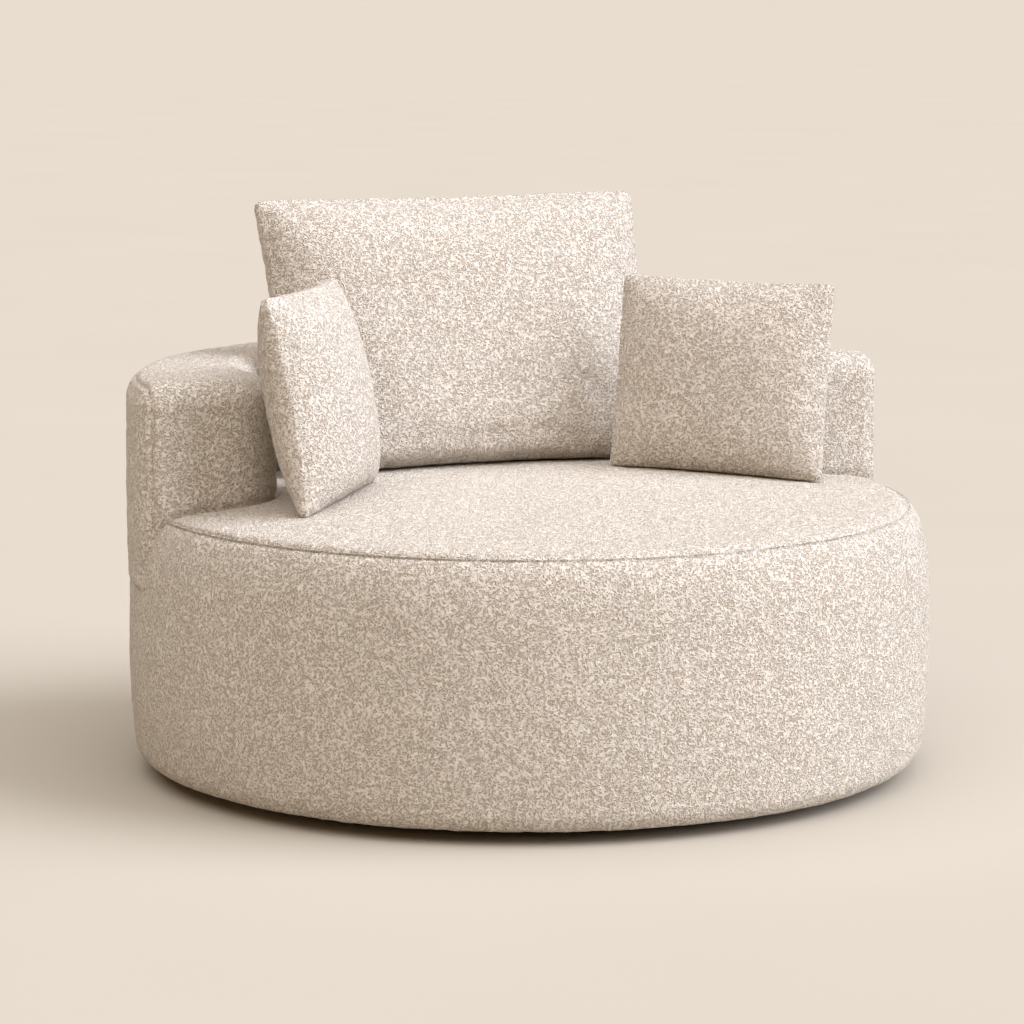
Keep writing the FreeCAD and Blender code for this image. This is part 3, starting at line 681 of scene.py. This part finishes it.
def make_cushion(name, node, form, pose, seed):
    """Cushion of two sewn panels, blown up as cloth and put in the middle of its CAD node's box.

    The pose is its lean backwards, its roll and its turn about the vertical, in degrees.
    """
    width, height = form[:2]
    lean, roll, turn = [math.radians(value) for value in pose]
    us = edge_lines(width / 2, cushion_spacing)
    vs = edge_lines(height / 2, cushion_spacing)
    panels, nearest = cushion_panels(form, us, vs)
    spacing = small_cloth_spacing if width < large_width else large_cloth_spacing
    even_us, even_vs, moves = blow_up(name, form, spacing)
    along = spline_weights(us, even_us)
    across = spline_weights(vs, even_vs)
    panels = [panel + np.einsum("rv,vuk,cu->rck", across, move, along)
              for panel, move in zip(panels, moves)]
    rows, columns = nearest.shape
    points, faces, rear_numbers = join_panels(panels)
    free = np.where(rear_numbers >= rows * columns)[0]
    middle = np.concatenate([nearest.ravel(), nearest.ravel()[free]])
    side_sign = np.concatenate([-np.ones(rows * columns), np.ones(len(free))])
    side_sign[:rows * columns][nearest.ravel() < 1e-9] = 0
    # Seam groove and scallops draw the edge in, along whichever of the two sides is near
    outward = np.stack([points[:, 0] / width, points[:, 2] / height], axis=1)
    outward /= np.maximum(np.abs(outward).max(axis=1, keepdims=True), 1e-6)
    outward = np.sign(outward) * smooth(np.abs(outward), 0.9, 1.0)
    scallop = noise(points * (1.0, 0.0, 1.0) + seed, scallop_cell, seed + 5)
    inward = (edge_seam_depth * np.exp(-(middle / edge_seam_width) ** 2)
              - scallop_height * scallop * np.exp(-(middle / scallop_reach) ** 2))
    points[:, 0] -= outward[:, 0] * inward
    points[:, 2] -= outward[:, 1] * inward
    wrinkle = noise(points * (1.0, 3.0, 1.0) + seed, wrinkle_cell, seed)
    wrinkle *= np.exp(-(middle / wrinkle_reach) ** 2)
    soft = noise(points + seed, softness_cell, seed + 1)
    bulge = wrinkle_height * wrinkle + softness_height * soft
    points[:, 1] += side_sign * bulge * smooth(middle, 0.0, 0.02)
    points[:, 1] += side_sign * wool(points + seed, seed + 2)
    points[:, 0] += shift_height * noise(points, grain_cell, seed + 3)
    points[:, 2] += shift_height * noise(points, grain_cell, seed + 4)
    turn_matrix = (Matrix.Rotation(turn, 3, "Z") @ Matrix.Rotation(-lean, 3, "X")
                   @ Matrix.Rotation(roll, 3, "Y"))
    low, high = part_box(node)
    centre = (low + high) / 2
    placed = points @ np.array(turn_matrix).T + np.array(centre)
    grid_number = np.concatenate([np.arange(rows * columns), free])
    column, row = grid_number % columns, grid_number // columns
    # The lower edge is lowered onto the domed seat, and nothing sinks into it
    foot = placed[:columns]
    gap = foot[:, 2] - seat_under(foot) - seat_gap
    placed[:, 2] -= gap[column] * smooth(-vs[row] * 2 / height, 0.0, 1.0)
    placed[:, 2] = np.maximum(placed[:, 2], seat_under(placed) + seat_gap)
    return make_mesh(name, placed, faces)


# Materials

curl_scale = 150.0
curl_reach = 0.005
strand_scales = (210.0, 290.0)
strand_sharpness = 6.5
second_layer_drop = 0.20
fuzz_scale = 700.0
fuzz_share = 0.3
strand_share = 0.7
yarn_relief = 0.0036
# Colour by the yarn's height: the dark lowest stops are painted shade in the gaps between strands,
# the upper stops are the yarn's own cream tone.
yarn_tones_with_pit_shade = [
    (0.16, (0.53, 0.430, 0.330)),
    (0.44, (0.75, 0.680, 0.591)),
    (0.70, (0.815, 0.762, 0.684)),
    (0.88, (0.835, 0.795, 0.734)),
]


def new_material(name):
    """A material with its nodes, its links and its shader."""
    material = bpy.data.materials.new(name)
    material.use_nodes = True
    nodes = material.node_tree.nodes
    links = material.node_tree.links
    return material, nodes, links, nodes["Principled BSDF"]


def add(nodes, kind, **values):
    """A new node, with in_ values for its inputs and the others for its settings."""
    node = nodes.new(kind)
    for key, value in values.items():
        if key.startswith("in_"):
            node.inputs[key[3:].replace("_", " ")].default_value = value
        else:
            setattr(node, key, value)
    return node


def math_node(nodes, links, operation, *values):
    """Output of a math node whose inputs are numbers or other outputs."""
    node = nodes.new("ShaderNodeMath")
    node.operation = operation
    for index, value in enumerate(values):
        if isinstance(value, (int, float)):
            node.inputs[index].default_value = value
        else:
            links.new(value, node.inputs[index])
    return node.outputs[0]


def ramp(nodes, links, source, stops):
    """Colour of a ramp with the given places and colours."""
    node = nodes.new("ShaderNodeValToRGB")
    links.new(source, node.inputs["Fac"])
    elements = node.color_ramp.elements
    while len(elements) < len(stops):
        elements.new(0.5)
    for element, (place, colour) in zip(elements, stops):
        element.position = place
        element.color = (*colour, 1.0)
    return node.outputs["Color"]


def boucle_material():
    """Curly wool yarn: two layers of strands that wind like level lines of noise, with a fuzz,
    coloured by their height so that the low gaps between the strands get painted shade.
    """
    material, nodes, links, shader = new_material("boucle")
    place = add(nodes, "ShaderNodeTexCoord").outputs["Object"]
    curl = add(nodes, "ShaderNodeTexNoise", in_Scale=curl_scale, in_Detail=0.0)
    links.new(place, curl.inputs["Vector"])
    warped = add(nodes, "ShaderNodeVectorMath", operation="MULTIPLY_ADD")
    links.new(curl.outputs["Color"], warped.inputs[0])
    warped.inputs[1].default_value = (curl_reach, curl_reach, curl_reach)
    links.new(place, warped.inputs[2])
    layers = []
    for scale in strand_scales:
        noise_node = add(nodes, "ShaderNodeTexNoise", in_Scale=scale, in_Detail=0.0)
        links.new(warped.outputs[0], noise_node.inputs["Vector"])
        from_line = math_node(nodes, links, "SUBTRACT", noise_node.outputs["Fac"], 0.5)
        scaled = math_node(nodes, links, "MULTIPLY", from_line, strand_sharpness)
        square = math_node(nodes, links, "MULTIPLY", scaled, scaled)
        layers.append(math_node(nodes, links, "SUBTRACT", 1.0, square))
    lower = math_node(nodes, links, "SUBTRACT", layers[1], second_layer_drop)
    upper = math_node(nodes, links, "MAXIMUM", layers[0], lower)
    strand = math_node(nodes, links, "MAXIMUM", upper, 0.0)
    fuzz = add(nodes, "ShaderNodeTexNoise", in_Scale=fuzz_scale, in_Detail=0.0)
    links.new(place, fuzz.inputs["Vector"])
    strand = math_node(nodes, links, "MULTIPLY", strand, strand_share)
    height = math_node(nodes, links, "MULTIPLY_ADD", fuzz.outputs["Fac"], fuzz_share, strand)
    bump = add(nodes, "ShaderNodeBump", in_Strength=1.0, in_Distance=yarn_relief)
    links.new(height, bump.inputs["Height"])
    links.new(bump.outputs["Normal"], shader.inputs["Normal"])
    # Painted shade: the colour follows the height, so it darkens into the pits between the
    # strands.
    colour = ramp(nodes, links, height, yarn_tones_with_pit_shade)
    links.new(colour, shader.inputs["Base Color"])
    shader.inputs["Roughness"].default_value = 0.95
    shader.inputs["Specular IOR Level"].default_value = 0.12
    shader.inputs["Sheen Weight"].default_value = 0.15
    shader.inputs["Sheen Roughness"].default_value = 0.6
    shader.inputs["Sheen Tint"].default_value = (1.0, 0.95, 0.88, 1.0)
    return material


def plain_material(name, dark, light, scale, stretch, roughness, metallic, bump_mm):
    """Hidden parts: two tones mixed by a stretched noise, with a fine relief."""
    material, nodes, links, shader = new_material(name)
    place = add(nodes, "ShaderNodeTexCoord").outputs["Object"]
    mapping = add(nodes, "ShaderNodeMapping")
    mapping.inputs["Scale"].default_value = stretch
    links.new(place, mapping.inputs["Vector"])
    grain = add(nodes, "ShaderNodeTexNoise",
                in_Scale=scale, in_Detail=4.0, in_Roughness=0.6, in_Distortion=0.4)
    links.new(mapping.outputs["Vector"], grain.inputs["Vector"])
    colour = ramp(nodes, links, grain.outputs["Fac"], [(0.32, dark), (0.68, light)])
    links.new(colour, shader.inputs["Base Color"])
    bump = add(nodes, "ShaderNodeBump", in_Strength=0.6, in_Distance=bump_mm / 1000)
    links.new(grain.outputs["Fac"], bump.inputs["Height"])
    links.new(bump.outputs["Normal"], shader.inputs["Normal"])
    shader.inputs["Roughness"].default_value = roughness
    shader.inputs["Metallic"].default_value = metallic
    return material


boucle = boucle_material()

# Dark and light tone, scale and stretch of the grain, roughness, metal, and relief in mm
hidden_finishes = {
    "foam": ((0.80, 0.72, 0.46), (0.90, 0.84, 0.62), 260, (1, 1, 1), 0.95, 0.0, 0.5),
    "fibre": ((0.80, 0.79, 0.77), (0.93, 0.92, 0.90), 90, (1, 1, 1), 0.95, 0.0, 1.0),
    "felt": ((0.08, 0.08, 0.08), (0.16, 0.155, 0.15), 300, (1, 1, 1), 0.98, 0.0, 0.4),
    "board": ((0.42, 0.27, 0.14), (0.58, 0.42, 0.25), 30, (1, 8, 40), 0.55, 0.0, 0.1),
    "beech": ((0.47, 0.28, 0.14), (0.60, 0.40, 0.22), 40, (8, 8, 1), 0.5, 0.0, 0.1),
    "fibreboard": ((0.22, 0.14, 0.08), (0.30, 0.20, 0.12), 200, (1, 1, 1), 0.8, 0.0, 0.1),
    "dark_board": ((0.010, 0.009, 0.008), (0.022, 0.019, 0.016), 30, (1, 8, 40), 0.55, 0.0, 0.1),
    "zinc_steel": ((0.50, 0.51, 0.53), (0.66, 0.67, 0.68), 120, (1, 6, 1), 0.38, 1.0, 0.03),
    "spring_steel": ((0.20, 0.21, 0.23), (0.34, 0.35, 0.37), 160, (1, 1, 1), 0.35, 1.0, 0.03),
    "bearing_steel": ((0.70, 0.70, 0.72), (0.80, 0.80, 0.82), 200, (1, 1, 1), 0.12, 1.0, 0.0),
    "black_cloth": ((0.012, 0.012, 0.012), (0.030, 0.030, 0.030), 500, (1, 1, 1), 0.95, 0.0, 0.2),
    "nylon": ((0.018, 0.018, 0.018), (0.028, 0.028, 0.028), 300, (1, 1, 1), 0.45, 0.0, 0.05),
}
finishes = {name: plain_material(name, *values) for name, values in hidden_finishes.items()}
finishes["boucle"] = boucle
slot_of = {part["node"]: part["material_slot"] for part in frame["record"]["subparts"]}
for node, thing in frame["nodes"].items():
    thing.data.materials.clear()
    thing.data.materials.append(finishes[slot_of[node]])


def dress(piece, body, fill, *nodes):
    """Covers a piece in boucle, puts it on its body and lets it stand for its CAD nodes."""
    piece.data.materials.append(boucle)
    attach(piece, body)
    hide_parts(*nodes)


drum_side, seat_panel = make_drum()
dress(drum_side, "seat", 1.0, "drum_side_cover")
dress(seat_panel, "seat", 1.0, "seat_top_cover")
wall_outer, wall_inner = make_wall()
dress(wall_outer, "seat", 1.0, "wall_outer_cover")
dress(wall_inner, "seat", 1.0, "wall_inner_cover")

# Width, height, thickness, drawing-in of the sides and of the ends, powers of both roundings, sag
back_form = (0.696, 0.470, 0.184, 0.012, 0.004, 3.6, 2.8, 1.0)
left_form = (0.343, 0.335, 0.142, 0.005, 0.005, 2.2, 2.2, 0.1)
right_form = (0.366, 0.322, 0.130, 0.003, 0.003, 2.2, 2.2, 0.1)
back = make_cushion("back_cushion", "back_cushion_cover", back_form, (20, 0, 0), 51)
dress(back, "back_cushion", 0.8, "back_cushion_cover", "back_cushion_fill")
left = make_cushion("left_pillow", "left_pillow_cover", left_form, (10.9, -0.6, 50.9), 61)
dress(left, "left_pillow", 0.8, "left_pillow_cover", "left_pillow_fill")
right = make_cushion("right_pillow", "right_pillow_cover", right_form, (11.3, 1.4, -39), 71)
dress(right, "right_pillow", 0.8, "right_pillow_cover", "right_pillow_fill")


# Studio: floor, lights and camera

floor_reach = 400.0
floor_tones = [(0.3, (0.522, 0.489, 0.425)), (0.7, (0.532, 0.499, 0.435))]


def make_floor():
    """A floor that reaches the horizon, so the background is as even as in the photograph."""
    corners = floor_reach * np.array([(-1, -1, 0), (1, -1, 0), (1, 1, 0), (-1, 1, 0)])
    floor = make_mesh("studio_floor", corners, [(0, 1, 2, 3)])
    material, nodes, links, shader = new_material("studio_paper")
    place = add(nodes, "ShaderNodeTexCoord").outputs["Object"]
    mottle = add(nodes, "ShaderNodeTexNoise", in_Scale=1.2, in_Detail=2.0)
    links.new(place, mottle.inputs["Vector"])
    colour = ramp(nodes, links, mottle.outputs["Fac"], floor_tones)
    links.new(colour, shader.inputs["Base Color"])
    shader.inputs["Roughness"].default_value = 1.0
    shader.inputs["Specular IOR Level"].default_value = 0.0
    floor.data.materials.append(material)


def add_sun(name, azimuth, elevation, width, strength, colour):
    """A far soft light that fills an angle of width, with its azimuth from +X towards +Y."""
    data = bpy.data.lights.new(name, "SUN")
    data.angle = math.radians(width)
    data.energy = strength
    data.color = colour
    light = bpy.data.objects.new(name, data)
    collection.objects.link(light)
    light.rotation_euler = (math.radians(90 - elevation), 0, math.radians(azimuth + 90))


make_floor()
add_sun("key", -32, 31, 50, 3.50, (0.89, 0.91, 1.0))
add_sun("top", -113, 80, 90, 2.75, (0.95, 0.945, 0.95))
add_sun("fill", -135, 18, 60, 0.30, (1.0, 0.62, 0.30))
world = bpy.data.worlds.new("studio_air")
bpy.context.scene.world = world
world.use_nodes = True
air = world.node_tree.nodes["Background"]
air.inputs["Color"].default_value = (1.0, 0.60, 0.30, 1.0)
air.inputs["Strength"].default_value = 0.175

camera_data = bpy.data.cameras.new("camera")
camera_data.lens = 134.55
camera_data.sensor_width = 36.0
camera = bpy.data.objects.new("camera", camera_data)
collection.objects.link(camera)
camera.location = (-2.406, -5.668, 1.317)
camera.rotation_euler = (math.radians(81.61), 0, math.radians(-22.742))
bpy.context.scene.camera = camera
bpy.context.scene.view_settings.view_transform = "Standard"
